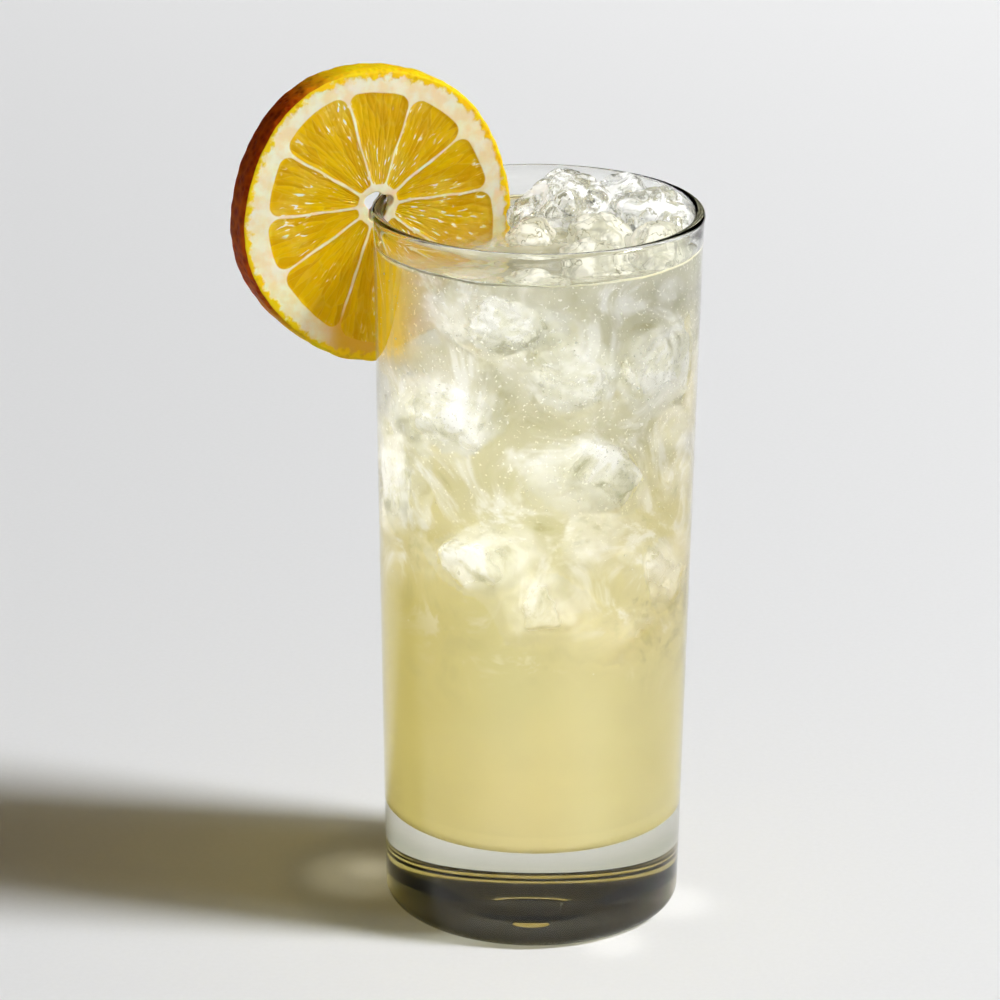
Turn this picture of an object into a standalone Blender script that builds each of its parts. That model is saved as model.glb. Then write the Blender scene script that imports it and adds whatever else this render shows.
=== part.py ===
"""A tall straight glass of vodka sling: pale cloudy drink, cracked ice and a lemon wheel on the rim.

Metres, +Z up. The glass is turned round the Z axis and stands on z = 0. The side with the best view
of the lemon wheel's face is -Y. The wheel hangs on the rim at -X, half outside and half in the glass.
"""

import math
import random

import bmesh
import bpy
from mathutils import Matrix, Vector

# Glass
GLASS_HEIGHT = 0.150
BODY_TOP_RADIUS = 0.0334
BODY_FOOT_RADIUS = 0.0308
WALL_TOP = 0.0018
WALL_FOOT = 0.0022
BEAD_RADIUS = 0.00115
FLOOR_HEIGHT = 0.0210
FLOOR_CORNER_RADIUS = 0.0024
FOOT_CORNER_RADIUS = 0.0029
REST_RING_INNER = 0.0105
BASE_PAD_RADIUS = 0.0080
BASE_GROOVE_DEPTH = 0.0002
BASE_GROOVE_SLOPE = 0.0008
GLASS_STEPS = 64
FLOOR_CORNER_STEPS = 4
FOOT_CORNER_STEPS = 5
BEAD_STEPS = 7
# Height of the bead's middle above its neck, as a share of the bead's radius
BEAD_NECK = 0.9

# Drink
DRINK_LEVEL = 0.1430
GAP = 0.0003

# Lemon wheel, measured in its own plane: x to the right, y up, z out of its front face
WHEEL_RADIUS = 0.0310
WHEEL_THICKNESS = 0.0064
WHEEL_FRONT_CENTRE = Vector((-0.03207, 0.0028, 0.14724))
WHEEL_TURN = math.radians(28.0)
WHEEL_CORE = Vector((-0.0003, 0.0022))
WHEEL_OVAL = 0.00103
WHEEL_OVAL_PHASE = -2.98
WHEEL_LOBES = 5
WHEEL_LOBE_HEIGHT = 0.00032
WHEEL_LOBE_PHASE = -2.68
WHEEL_EDGE_ROUNDING = 0.0009
WHEEL_STEPS = 96
CORE_HOLE_RADIUS = 0.0029
CORE_HOLE_THREE_LOBES = 0.16
CORE_HOLE_FIVE_LOBES = 0.08
CORE_HOLE_PHASE = 0.7
CORE_PITH_WIDTH = 0.0011
PULP_REACH = 0.79
PITH_REACH = 0.92
PULP_RINGS = 4
PULP_DEPTH = 0.00035
MEMBRANE_WIDTH = 0.0011
# The slit for the glass wall: how far it reaches down in wheel radii, and its straight part in bead radii
SLIT_REACH = 1.2
SLIT_SHOULDER = 1.5
SLIT_ARC_STEPS = 8
# Directions of the ten membranes from the core, in degrees, counted left from the right-hand side
MEMBRANES = (0.6, 33.0, 69.9, 106.4, 146.7, 179.4, 209.0, 249.7, 286.0, 323.0)

# Ice that stands above the drink: centre and half sizes of each chunk
ICE_CHUNKS = (
    ((0.0050, 0.0165, 0.1447), (0.0125, 0.0100, 0.0090)),
    ((0.0230, 0.0080, 0.1455), (0.0100, 0.0095, 0.0085)),
    ((0.0120, 0.0010, 0.1412), (0.0095, 0.0090, 0.0080)),
    ((-0.0005, 0.0030, 0.1395), (0.0075, 0.0085, 0.0085)),
    ((0.0115, -0.0140, 0.1410), (0.0100, 0.0085, 0.0080)),
    ((0.0235, -0.0085, 0.1425), (0.0085, 0.0095, 0.0078)),
    ((0.0180, 0.0235, 0.1440), (0.0090, 0.0070, 0.0075)),
    ((-0.0010, -0.0230, 0.1395), (0.0085, 0.0060, 0.0060)),
)
ICE_FACETS = 9
ICE_FACET_NEAR = 0.72
ICE_FACET_FAR = 0.94
ICE_FACET_LOWEST = -0.4
ICE_WALL_GAP = 0.0004
ICE_BETWEEN_GAP = 0.7 * GAP
ICE_ROOM_OVER_WALL = 0.001
ICE_ROOM_SWELL = 1.3
ICE_WHEEL_GAP = 0.0005
ICE_SEED = 41

MICRON = 0.000001


def clear_scene():
    for obj in list(bpy.data.objects):
        bpy.data.objects.remove(obj, do_unlink=True)


def new_collection(name):
    collection = bpy.data.collections.new(name)
    bpy.context.scene.collection.children.link(collection)
    return collection


def material(name, colour, roughness, transmission=0.0, ior=1.45):
    made = bpy.data.materials.new(name)
    made.use_nodes = True
    shader = made.node_tree.nodes["Principled BSDF"]
    shader.inputs["Base Color"].default_value = (*colour, 1.0)
    shader.inputs["Roughness"].default_value = roughness
    shader.inputs["Metallic"].default_value = 0.0
    shader.inputs["Transmission Weight"].default_value = transmission
    shader.inputs["IOR"].default_value = ior
    return made


def add_object(name, mesh, collection, finish=None):
    obj = bpy.data.objects.new(name, mesh)
    collection.objects.link(obj)
    if finish:
        mesh.materials.append(finish)
    return obj


def make_cutter(obj):
    obj.hide_render = True
    obj.display_type = "WIRE"


def arc(centre_x, centre_z, radius, start, end, count):
    """Points on a circle from start to end, in degrees, in the plane of a turned profile."""
    points = []
    for i in range(count + 1):
        angle = math.radians(start + (end - start) * i / count)
        points.append((centre_x + radius * math.cos(angle), centre_z + radius * math.sin(angle)))
    return points


def turned(name, profile, collection, finish=None, closed=False, steps=GLASS_STEPS):
    """An object turned round Z from profile points (radius, height)."""
    mesh = bpy.data.meshes.new(name)
    edges = [(i, i + 1) for i in range(len(profile) - 1)]
    if closed:
        edges.append((len(profile) - 1, 0))
    mesh.from_pydata([(x, 0.0, z) for x, z in profile], edges, [])
    obj = add_object(name, mesh, collection, finish)
    screw = obj.modifiers.new("Turn", "SCREW")
    screw.axis = "Z"
    screw.angle = math.tau
    screw.steps = steps
    screw.render_steps = steps
    screw.use_merge_vertices = True
    screw.merge_threshold = MICRON
    screw.use_smooth_shade = True
    return obj


def cut(obj, cutter):
    boolean = obj.modifiers.new("Cut " + cutter.name, "BOOLEAN")
    boolean.operation = "DIFFERENCE"
    boolean.object = cutter


def outer_radius(z):
    return BODY_FOOT_RADIUS + (BODY_TOP_RADIUS - BODY_FOOT_RADIUS) * z / GLASS_HEIGHT


def wall(z):
    return WALL_FOOT + (WALL_TOP - WALL_FOOT) * z / GLASS_HEIGHT


def inner_radius(z):
    return outer_radius(z) - wall(z)


# The glass: heavy base, flat below but for a fine ring mark, straight flared wall, round bead
def glass_profile():
    bead_height = GLASS_HEIGHT - BEAD_RADIUS
    bead_middle = outer_radius(bead_height) - wall(bead_height) / 2
    neck = bead_height - BEAD_NECK * BEAD_RADIUS
    corner_height = FLOOR_HEIGHT + FLOOR_CORNER_RADIUS
    floor_edge = inner_radius(corner_height) - FLOOR_CORNER_RADIUS
    foot_edge = outer_radius(FOOT_CORNER_RADIUS) - FOOT_CORNER_RADIUS
    profile = [(0.0, FLOOR_HEIGHT)]
    profile += arc(floor_edge, corner_height, FLOOR_CORNER_RADIUS, -90, 0, FLOOR_CORNER_STEPS)
    profile.append((inner_radius(neck), neck))
    profile += arc(bead_middle, bead_height, BEAD_RADIUS, 170, 10, BEAD_STEPS)
    profile.append((outer_radius(neck), neck))
    profile += arc(foot_edge, FOOT_CORNER_RADIUS, FOOT_CORNER_RADIUS, 0, -90, FOOT_CORNER_STEPS)
    profile.append((REST_RING_INNER, 0.0))
    profile.append((REST_RING_INNER - BASE_GROOVE_SLOPE, BASE_GROOVE_DEPTH))
    profile.append((BASE_PAD_RADIUS + BASE_GROOVE_SLOPE, BASE_GROOVE_DEPTH))
    profile += [(BASE_PAD_RADIUS, 0.0), (0.0, 0.0)]
    return profile


# The drink fills the glass up to its level, a hair's breadth off the wall and floor
def drink_profile():
    bottom = FLOOR_HEIGHT + GAP
    corner = FLOOR_CORNER_RADIUS
    corner_height = bottom + corner
    side = inner_radius(corner_height) - GAP
    profile = [(0.0, DRINK_LEVEL), (inner_radius(DRINK_LEVEL) - GAP, DRINK_LEVEL)]
    profile += arc(side - corner, corner_height, corner, 0, -90, FLOOR_CORNER_STEPS)
    profile.append((0.0, bottom))
    return profile


def wall_slot_profile():
    """The glass wall and its bead, thickened by the gap: what the wheel's slit leaves free."""
    low = WHEEL_FRONT_CENTRE.z - SLIT_REACH * WHEEL_RADIUS
    bead_height = GLASS_HEIGHT - BEAD_RADIUS
    bead_middle = outer_radius(bead_height) - wall(bead_height) / 2
    shoulder = bead_height - SLIT_SHOULDER * BEAD_RADIUS
    profile = [(inner_radius(low) - GAP, low), (inner_radius(shoulder) - GAP, shoulder)]
    profile += arc(bead_middle, bead_height, BEAD_RADIUS + GAP, 180, 0, SLIT_ARC_STEPS)
    profile += [(outer_radius(shoulder) + GAP, shoulder), (outer_radius(low) + GAP, low)]
    return profile


# The lemon wheel
def rind_radius(angle):
    """Distance of the rind from the wheel's middle: an oval with low lobes."""
    oval = WHEEL_OVAL * math.sin(2 * angle + WHEEL_OVAL_PHASE)
    lobes = WHEEL_LOBE_HEIGHT * math.sin(WHEEL_LOBES * angle + WHEEL_LOBE_PHASE)
    return WHEEL_RADIUS + oval + lobes


def reach_from_core(angle):
    """Distance of the rind from the core, which lies a little off the middle."""
    direction = Vector((math.cos(angle), math.sin(angle)))
    reach = WHEEL_RADIUS
    for _ in range(12):
        point = WHEEL_CORE + direction * reach
        reach += rind_radius(math.atan2(point.y, point.x)) - point.length
    return reach


def hole_radius(angle):
    three = CORE_HOLE_THREE_LOBES * math.sin(3 * angle + CORE_HOLE_PHASE)
    five = CORE_HOLE_FIVE_LOBES * math.sin(5 * angle)
    return CORE_HOLE_RADIUS * (1.0 + three + five)


def smooth_step(value):
    clamped = min(max(value, 0.0), 1.0)
    return clamped * clamped * (3.0 - 2.0 * clamped)


def pulp_sink(angle, radius, reach):
    """How far the cut pulp lies below the membranes and the pith."""
    turn = min(abs((angle - math.radians(m) + math.pi) % math.tau - math.pi) for m in MEMBRANES)
    from_membrane = turn * radius - MEMBRANE_WIDTH / 2
    from_core = radius - CORE_HOLE_RADIUS - CORE_PITH_WIDTH
    from_pith = PULP_REACH * reach - radius
    nearest = min(from_membrane, from_core, from_pith)
    return PULP_DEPTH * smooth_step(nearest / MEMBRANE_WIDTH + 0.5)


def wheel_profile(start_radius, half_thickness, edge_radius):
    rounding = WHEEL_EDGE_ROUNDING
    rings = [start_radius]
    first = CORE_HOLE_RADIUS + CORE_PITH_WIDTH
    last = PULP_REACH * WHEEL_RADIUS
    for i in range(PULP_RINGS + 1):
        rings.append(first + (last - first) * i / PULP_RINGS)
    rings += [last + MEMBRANE_WIDTH, PITH_REACH * WHEEL_RADIUS]
    front = [(r, half_thickness) for r in rings]
    edge = arc(edge_radius - rounding, half_thickness - rounding, rounding, 90, 0, 2)
    edge += arc(edge_radius - rounding, rounding - half_thickness, rounding, 0, -90, 2)
    back = [(r, -half_thickness) for r in reversed(rings)]
    return front + edge + back


def shape_wheel(mesh, grow, with_relief):
    """Moves the points of the turned disc to the wheel's true outline, hole and relief."""
    half = WHEEL_THICKNESS / 2 + grow
    for vertex in mesh.vertices:
        x, y, z = vertex.co
        radius = math.hypot(x, y)
        if radius < MICRON:
            vertex.co = (WHEEL_CORE.x, WHEEL_CORE.y, z)
            continue
        angle = math.atan2(y, x)
        reach = reach_from_core(angle)
        start = hole_radius(angle) if with_relief else 0.0
        plain_start = CORE_HOLE_RADIUS if with_relief else 0.0
        share = (radius - plain_start) / (WHEEL_RADIUS + grow - plain_start)
        true_radius = start + share * (reach + grow - start)
        if with_relief and abs(abs(z) - half) < MICRON:
            z -= math.copysign(pulp_sink(angle, true_radius, reach), z)
        vertex.co = (
            WHEEL_CORE.x + true_radius * math.cos(angle),
            WHEEL_CORE.y + true_radius * math.sin(angle),
            z,
        )


def wheel_matrix():
    right = Vector((math.cos(WHEEL_TURN), math.sin(WHEEL_TURN), 0.0))
    up = Vector((0.0, 0.0, 1.0))
    out = right.cross(up)
    middle = WHEEL_FRONT_CENTRE - out * WHEEL_THICKNESS / 2
    rotation = Matrix((right, up, out)).transposed().to_4x4()
    return Matrix.Translation(middle) @ rotation


def add_wheel(name, collection, finish=None, grow=0.0, with_relief=True, steps=WHEEL_STEPS):
    half = WHEEL_THICKNESS / 2 + grow
    start = CORE_HOLE_RADIUS if with_relief else 0.0
    if with_relief:
        profile = wheel_profile(start, half, WHEEL_RADIUS)
    else:
        edge = WHEEL_RADIUS + grow
        profile = [(0.0, half), (edge, half), (edge, -half), (0.0, -half)]
    disc = turned(name, profile, collection, finish, closed=with_relief, steps=steps)
    graph = bpy.context.evaluated_depsgraph_get()
    mesh = bpy.data.meshes.new_from_object(disc.evaluated_get(graph))
    bpy.data.objects.remove(disc, do_unlink=True)
    shape_wheel(mesh, grow, with_relief)
    wheel = bpy.data.objects.new(name, mesh)
    collection.objects.link(wheel)
    wheel.matrix_world = wheel_matrix()
    return wheel


# Ice: each chunk is a rounded cell, cut flat against its neighbours and broken into facets
def bisect(bm, point, normal):
    geometry = bm.verts[:] + bm.edges[:] + bm.faces[:]
    found = bmesh.ops.bisect_plane(
        bm, geom=geometry, dist=MICRON, plane_co=point, plane_no=normal, clear_outer=True
    )
    loop = [item for item in found["geom_cut"] if isinstance(item, bmesh.types.BMEdge)]
    if loop:
        bmesh.ops.edgeloop_fill(bm, edges=loop)


def cell_planes(index, grow):
    """Planes that part a chunk from its neighbours and from the wheel's front face."""
    centre = Vector(ICE_CHUNKS[index][0])
    size = sum(ICE_CHUNKS[index][1])
    planes = []
    for other, (other_centre, other_radii) in enumerate(ICE_CHUNKS):
        if other == index:
            continue
        towards = Vector(other_centre) - centre
        share = size / (size + sum(other_radii))
        normal = towards.normalized()
        point = centre + towards * share - normal * (ICE_BETWEEN_GAP - grow)
        planes.append((point, normal))
    behind = Vector((-math.sin(WHEEL_TURN), math.cos(WHEEL_TURN), 0.0))
    planes.append((WHEEL_FRONT_CENTRE - behind * (ICE_WHEEL_GAP - grow), behind))
    return planes


def facet_planes(index, grow):
    centre = Vector(ICE_CHUNKS[index][0])
    radii = Vector(ICE_CHUNKS[index][1])
    chance = random.Random(ICE_SEED + index)
    planes = []
    for _ in range(ICE_FACETS):
        height = chance.uniform(ICE_FACET_LOWEST, 1.0)
        turn = chance.uniform(0.0, math.tau)
        flat = math.sqrt(1.0 - height * height)
        normal = Vector((flat * math.cos(turn), flat * math.sin(turn), height))
        stretched = Vector((normal.x * radii.x, normal.y * radii.y, normal.z * radii.z))
        distance = stretched.length * chance.uniform(ICE_FACET_NEAR, ICE_FACET_FAR)
        planes.append((centre + normal * (distance + grow), normal))
    return planes


def add_ice(index, name, collection, finish=None, grow=0.0, wall_gap=ICE_WALL_GAP):
    centre, radii = ICE_CHUNKS[index]
    bm = bmesh.new()
    bmesh.ops.create_icosphere(bm, subdivisions=2, radius=1.0)
    for vertex in bm.verts:
        for axis in range(3):
            vertex.co[axis] = centre[axis] + vertex.co[axis] * (radii[axis] + ICE_ROOM_SWELL * grow)
    for point, normal in cell_planes(index, grow) + facet_planes(index, grow):
        bisect(bm, point, normal)
    for vertex in bm.verts:
        limit = inner_radius(vertex.co.z) - wall_gap
        radius = math.hypot(vertex.co.x, vertex.co.y)
        if radius > limit:
            vertex.co.x *= limit / radius
            vertex.co.y *= limit / radius
    bmesh.ops.remove_doubles(bm, verts=bm.verts, dist=GAP)
    bmesh.ops.triangulate(bm, faces=bm.faces)
    bmesh.ops.recalc_face_normals(bm, faces=bm.faces)
    mesh = bpy.data.meshes.new(name)
    bm.to_mesh(mesh)
    bm.free()
    return add_object(name, mesh, collection, finish)


def build():
    clear_scene()
    parts = new_collection("Glass of vodka sling")
    cutters = new_collection("Cutters")
    clear_glass = material("clear_glass", (0.95, 0.97, 0.96), 0.02, transmission=1.0, ior=1.5)
    cloudy_drink = material("cloudy_drink", (0.80, 0.74, 0.40), 0.15, transmission=0.3, ior=1.34)
    lemon = material("lemon_slice", (0.86, 0.60, 0.03), 0.35)
    clear_ice = material("clear_ice", (0.93, 0.95, 0.94), 0.05, transmission=0.9, ior=1.31)

    turned("glass", glass_profile(), parts, clear_glass)
    drink = turned("drink", drink_profile(), parts, cloudy_drink)
    wheel = add_wheel("lemon_wheel", parts, lemon)

    slot = turned("wall_slot", wall_slot_profile(), cutters, closed=True)
    make_cutter(slot)
    cut(wheel, slot)
    wheel_room = add_wheel("wheel_room", cutters, grow=GAP, with_relief=False, steps=WHEEL_STEPS // 2)
    make_cutter(wheel_room)
    cut(drink, wheel_room)

    for index in range(len(ICE_CHUNKS)):
        number = str(index + 1)
        add_ice(index, "ice_" + number, parts, clear_ice)
        room = add_ice(index, "ice_room_" + number, cutters, grow=GAP, wall_gap=-ICE_ROOM_OVER_WALL)
        make_cutter(room)
        cut(drink, room)


build()
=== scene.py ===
"""Looks of the glass of vodka sling: clear glass, cloudy drink with sunk ice, lemon wheel on the rim.

Metres, +Z up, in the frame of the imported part. The glass stands on z = 0 round the Z axis.
"""

import math
import random

import bmesh
import bpy
import numpy as np
from mathutils import Matrix, Vector, noise
from mathutils.bvhtree import BVHTree


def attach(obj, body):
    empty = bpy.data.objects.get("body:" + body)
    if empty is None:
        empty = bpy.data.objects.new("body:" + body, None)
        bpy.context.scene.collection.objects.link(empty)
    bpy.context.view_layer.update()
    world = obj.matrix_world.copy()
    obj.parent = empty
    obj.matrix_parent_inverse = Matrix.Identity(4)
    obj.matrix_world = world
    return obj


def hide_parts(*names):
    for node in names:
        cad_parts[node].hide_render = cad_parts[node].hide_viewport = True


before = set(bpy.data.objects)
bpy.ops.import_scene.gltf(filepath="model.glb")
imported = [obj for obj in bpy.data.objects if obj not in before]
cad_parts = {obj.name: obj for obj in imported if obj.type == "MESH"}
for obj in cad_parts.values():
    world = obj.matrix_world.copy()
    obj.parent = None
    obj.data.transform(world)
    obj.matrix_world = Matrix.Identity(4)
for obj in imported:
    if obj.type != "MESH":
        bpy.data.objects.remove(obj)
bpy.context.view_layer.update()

MM = 0.001

# Glass, the same sizes as the part's own
GLASS_HEIGHT = 150.0 * MM
BODY_TOP_RADIUS = 33.4 * MM
BODY_FOOT_RADIUS = 30.8 * MM
WALL_TOP = 1.8 * MM
WALL_FOOT = 2.2 * MM
BEAD_RADIUS = 1.15 * MM
FLOOR_HEIGHT = 21.0 * MM
FLOOR_CORNER_RADIUS = 2.4 * MM
FOOT_CORNER_RADIUS = 2.9 * MM
RING_MARK_OUTER = 10.5 * MM
RING_MARK_INNER = 8.0 * MM
RING_MARK_DEPTH = 0.2 * MM
RING_MARK_SLOPE = 0.8 * MM
GLASS_STEPS = 256
INTO_WALL = 0.12 * MM
GLASS_IOR = 1.5
DRINK_IOR = 1.34

# Drink
DRINK_LEVEL = 143.0 * MM
MENISCUS = 0.7 * MM
MENISCUS_WIDTH = 2.2 * MM
SURFACE_SWELL = 0.30 * MM
SURFACE_SWELL_SCALE = 120.0
DRINK_STEPS = 400
DRINK_SHADE = (0.46, 0.43, 0.36, 1.0)
BUBBLES = 900
BUBBLE_SEED = 5

# Murk in the middle of the drink, drawn in on the wheel's side
CORE_INSET = 9.0 * MM
CORE_OVER_FLOOR = 4.0 * MM
CORE_UNDER_LEVEL = 6.0 * MM
CORE_BULGE = 0.10
CORE_WHEEL_SIDE = math.radians(20.0)
CORE_DRAWN_IN = 0.6
CORE_DRAWN_FROM = 100.0 * MM
CORE_DRAWN_OVER = 14.0 * MM

# How far one sees into the drink: less low down, and never quite clear
VEIL_HIGH = 12.0 * MM
VEIL_LOW = 3.5 * MM
VEIL_RISE_FROM = 55.0 * MM
VEIL_RISE_OVER = 60.0 * MM
VEIL_CLEAR = 0.93
VEIL_LOOK = 30.0 * MM
VEIL_DEEPEST = 12.0 * MM

# The wheel's gold that shows through the drink. The line of sight slopes down inside it.
GOLD_LOWEST = 105.0 * MM
GOLD_RIGHTMOST = 4.0 * MM
GOLD_LOOK = 50.0 * MM
GOLD_LOOK_TOP = 40.0 * MM
GOLD_REACH_FRONT = 34.0 * MM
GOLD_REACH_BACK = 15.0 * MM
GOLD_REACH_TOP = 19.0 * MM
GOLD_FADE = 13.0 * MM
GOLD_SOFTEN = 1.5 * MM
GOLD_OFFSETS = ((0, 0), (1, 0), (-1, 0), (0, 1), (0, -1), (2, 0), (-2, 0), (0, 2), (0, -2))
SIGHT_LEVEL = 0.967
SIGHT_DOWN = 0.254

# Lemon wheel
WHEEL_RADIUS = 31.0 * MM
WHEEL_THICKNESS = 6.4 * MM
WHEEL_FRONT_CENTRE = Vector((-32.07, 2.8, 147.24)) * MM
WHEEL_TURN = math.radians(28.0)
WHEEL_CORE = np.array((-0.3, 2.2)) * MM
WHEEL_OVAL = 1.03 * MM
WHEEL_OVAL_PHASE = -2.98
WHEEL_LOBES = 5
WHEEL_LOBE_HEIGHT = 0.32 * MM
WHEEL_LOBE_PHASE = -2.68
WHEEL_SEAM = math.radians(179.4 - 180.0)
CORE_HOLE_RADIUS = 2.9 * MM
EDGE_ROUND = 1.1 * MM
MEMBRANES = np.radians((0.6, 33.0, 69.9, 106.4, 146.7, 179.4, 209.0, 249.7, 286.0, 323.0))
MEMBRANE_HALF = 0.14 * MM
MEMBRANE_SWAY = 0.35 * MM
SEGMENT_CORNER = 2.7 * MM
SEGMENT_START = 4.3 * MM
SEGMENT_START_CORNER = 0.8 * MM
PULP_SINK = 0.30
SAC_RISE = 0.14
FACE_GRAIN = 0.08 * MM
RIND_GRAIN = 0.24 * MM
GRAIN_SCALE = 420.0
WHEEL_STEPS = 480
FACE_ROWS = 84
RIND_ROWS = 12
HOLE_ROWS = 6
SLIT_GAP = 0.15 * MM

# Camera of the photo's view
CAMERA_PLACE = Vector((-7.3, -850.0, 395.2)) * MM
CAMERA_PITCH = 0.3474
CAMERA_ROLL = 0.0076
CAMERA_LENS = 158.15


def smooth(value):
    clamped = np.clip(value, 0.0, 1.0)
    return clamped * clamped * (3.0 - 2.0 * clamped)


def outer_radius(z):
    return BODY_FOOT_RADIUS + (BODY_TOP_RADIUS - BODY_FOOT_RADIUS) * z / GLASS_HEIGHT


def wall(z):
    return WALL_FOOT + (WALL_TOP - WALL_FOOT) * z / GLASS_HEIGHT


def inner_radius(z):
    return outer_radius(z) - wall(z)


# Shader helpers
class Shader:
    """Adds nodes to a new material and links them."""

    def __init__(self, name):
        self.material = bpy.data.materials.new(name)
        self.material.use_nodes = True
        self.tree = self.material.node_tree
        self.tree.nodes.clear()
        self.output = self.tree.nodes.new("ShaderNodeOutputMaterial")

    def node(self, kind, settings=None, **inputs):
        made = self.tree.nodes.new("ShaderNode" + kind)
        for key, value in (settings or {}).items():
            setattr(made, key, value)
        for key, value in inputs.items():
            self.set(made, key.replace("_", " "), value)
        return made

    def set(self, node, name, value):
        socket = node.inputs[int(name)] if name.isdigit() else node.inputs[name]
        if isinstance(value, bpy.types.NodeSocket):
            self.tree.links.new(value, socket)
        else:
            socket.default_value = value

    def math(self, operation, first, second=0.0):
        made = self.node("Math", {"operation": operation})
        self.set(made, "0", first)
        self.set(made, "1", second)
        return made.outputs[0]

    def times(self, first, second):
        return self.math("MULTIPLY", first, second)

    def plus(self, first, second):
        return self.math("ADD", first, second)

    def mix(self, factor, first, second):
        made = self.node("Mix", {"data_type": "RGBA"})
        self.set(made, "0", factor)
        self.set(made, "6", first)
        self.set(made, "7", second)
        return made.outputs[2]

    def ramp(self, value, low, high, to_low=0.0, to_high=1.0):
        made = self.node("MapRange", {"interpolation_type": "SMOOTHSTEP"})
        for index, item in enumerate((value, low, high, to_low, to_high)):
            self.set(made, str(index), item)
        return made.outputs[0]

    def attribute(self, name):
        return self.node("Attribute", {"attribute_name": name}).outputs["Fac"]

    def blend(self, factor, first, second):
        made = self.node("MixShader")
        self.set(made, "0", factor)
        self.tree.links.new(first, made.inputs[1])
        self.tree.links.new(second, made.inputs[2])
        return made.outputs[0]

    def clear(self, colour):
        return self.node("BsdfTransparent", Color=colour).outputs[0]

    def noise(self, scale, detail, vector):
        return self.node("TexNoise", Vector=vector, Scale=scale, Detail=detail).outputs["Fac"]

    def twisted_noise(self, scale, detail, roughness, twist, vector):
        looks = {"Roughness": roughness, "Distortion": twist}
        return self.node("TexNoise", Vector=vector, Scale=scale, Detail=detail, **looks).outputs["Fac"]

    def sway(self, scale, detail, vector, width):
        """Noise around zero, of the given width."""
        return self.times(self.math("SUBTRACT", self.noise(scale, detail, vector), 0.5), width)

    def cells(self, feature, scale, vector):
        return self.node("TexVoronoi", {"feature": feature}, Vector=vector, Scale=scale)

    def place(self):
        return self.node("TexCoord").outputs["Object"]

    def split(self, vector):
        return self.node("SeparateXYZ", Vector=vector).outputs

    def bump(self, height, strength, distance):
        return self.node("Bump", Height=height, Strength=strength, Distance=distance).outputs[0]

    def lets_lamps_through(self, surface, colour, diffuse_too=True):
        """The surface as seen, but plainly see-through for light on its way to what is behind."""
        path = self.node("LightPath")
        if diffuse_too:
            surface = self.blend(path.outputs["Is Diffuse Ray"], surface, self.clear(colour))
        return self.blend(path.outputs["Is Shadow Ray"], surface, self.clear(colour))

    def finish(self, surface):
        self.tree.links.new(surface, self.output.inputs["Surface"])
        return self.material


def rgb(red, green, blue):
    """A linear colour from the 0 to 255 values of a screen."""
    values = []
    for value in (red, green, blue):
        share = value / 255.0
        values.append(share / 12.92 if share <= 0.04045 else ((share + 0.055) / 1.055) ** 2.4)
    return (*values, 1.0)


WHITE = (1.0, 1.0, 1.0, 1.0)


# Materials
def glass_material(name, tint, thick_tint):
    """Clear glass. Its thick foot is greyer to look through, and lamps pass less of it."""
    s = Shader(name)
    place = s.place()
    height = s.split(place)[2]
    thick = s.ramp(height, 0.016, 0.023, 1.0, 0.0)
    body = s.mix(thick, (0.98, 0.985, 0.97, 1.0), (0.62, 0.62, 0.50, 1.0))
    # Painted shade: at glancing angles the rim, the foot and the outline are darkened towards dark olive, a
    # painted dark reflection of the room
    grazing = s.node("LayerWeight", Blend=0.5).outputs["Facing"]
    rim = s.ramp(height, 0.1470, 0.1478)
    foot = s.ramp(height, 0.0030, 0.0020)
    rounded_part = s.math("MAXIMUM", rim, foot)
    dark = s.times(s.ramp(grazing, 0.45, 0.85), rounded_part)
    dark = s.math("MAXIMUM", dark, s.ramp(grazing, 0.72, 0.97, 0.0, 0.5))
    surface = s.node(
        "BsdfPrincipled",
        Base_Color=s.mix(dark, body, rgb(70, 66, 40)),
        Roughness=0.0,
        IOR=GLASS_IOR,
        Specular_IOR_Level=0.12,
        Transmission_Weight=1.0,
    ).outputs[0]
    return s.finish(s.lets_lamps_through(surface, s.mix(thick, tint, thick_tint)))


def wet_wall_material():
    """Where drink touches the wall, light bends only by the ratio of the two."""
    s = Shader("wetted_inner_wall")
    surface = s.node("BsdfRefraction", Color=WHITE, Roughness=0.0, IOR=GLASS_IOR / DRINK_IOR)
    return s.finish(s.lets_lamps_through(surface.outputs[0], WHITE))


def murky(s, colour, behind):
    """A dull surface that also glows with the light on its far side."""
    front = s.node("BsdfDiffuse", Color=colour).outputs[0]
    through = s.node("BsdfTranslucent", Color=colour).outputs[0]
    return s.blend(behind, front, through)


def liquid_colour(s, place):
    """Yellower low down, where it is golden and darker on the left and paler on the right: painted shade on
    the left side and painted light on the right side.
    """
    across, _, height = s.split(place)
    lift = s.plus(height, s.sway(38.0, 3.0, place, 0.06))
    low = s.mix(s.ramp(lift, 0.03, 0.075), rgb(216, 205, 150), rgb(209, 203, 150))
    # Painted shade on the left side, painted light on the right side
    low = s.mix(s.ramp(across, -0.002, -0.024), low, rgb(209, 197, 126))
    low = s.mix(s.ramp(across, 0.0, 0.015), low, rgb(225, 219, 171))
    return s.mix(s.ramp(lift, 0.080, 0.130), low, rgb(206, 203, 178))


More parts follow.
